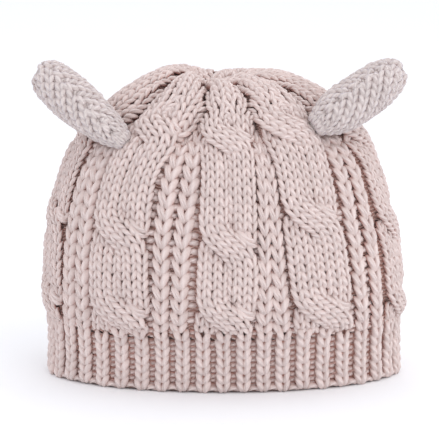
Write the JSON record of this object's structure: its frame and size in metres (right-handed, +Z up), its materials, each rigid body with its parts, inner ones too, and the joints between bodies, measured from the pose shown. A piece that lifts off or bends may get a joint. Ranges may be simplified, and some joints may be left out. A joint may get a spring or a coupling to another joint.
{
  "type": "knitted baby hat with ears",
  "caption": "Chunky cable-knit baby hat on a ribbed band, drawn together at the crown, with two padded knitted ears. It stands on its hem and is open below.",
  "frame": {"origin": "middle of the hat, on the surface that its hem stands on", "axes": "+Z up through the crown; -Y is the hat's front, where the picture was taken from; +X is to the right in the picture, towards the right ear"},
  "size_m": [0.1838, 0.1193, 0.1637],
  "materials": {
    "hat_knit": "chunky cable-knit yarn, matt, warm pale pink beige",
    "band_knit": "ribbed knit in the same yarn, matt",
    "ear_knit": "plain knit in the same yarn, a little paler, padded"
  },
  "bodies": {
    "root": {"crown": "hat_knit", "ribbed_band": "band_knit", "ear_left": "ear_knit", "ear_right": "ear_knit"}
  },
  "joints": []
}
